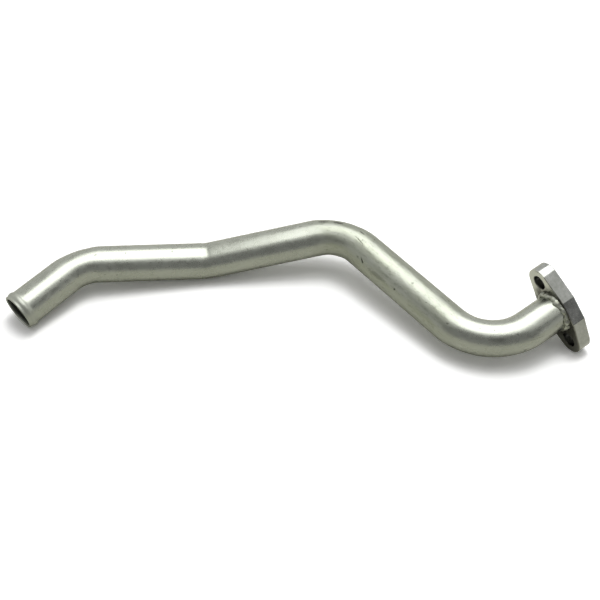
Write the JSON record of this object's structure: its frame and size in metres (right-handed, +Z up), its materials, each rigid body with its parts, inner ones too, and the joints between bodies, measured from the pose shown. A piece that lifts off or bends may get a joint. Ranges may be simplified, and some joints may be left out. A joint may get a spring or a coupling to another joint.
{
  "type": "turbo oil return pipe",
  "caption": "Bent steel pipe that drains oil from a turbocharger, with a beaded hose end at one end and a bolted flange at the other.",
  "frame": {"origin": "centre of the part's bounding box in plan, on the floor it lies on", "axes": "+X from the hose end towards the flange along the part's length, +Z up from the floor"},
  "size_m": [0.3374, 0.092, 0.0452],
  "materials": {
    "return_tube": "bright zinc plate over drawn steel, lightly marked",
    "flange_plate": "zinc plate over sawn and ground steel",
    "weld_bead": "zinc plate over a rough weld"
  },
  "bodies": {
    "root": {"return_tube": "return_tube", "flange_plate": "flange_plate", "weld_bead": "weld_bead"}
  },
  "joints": []
}
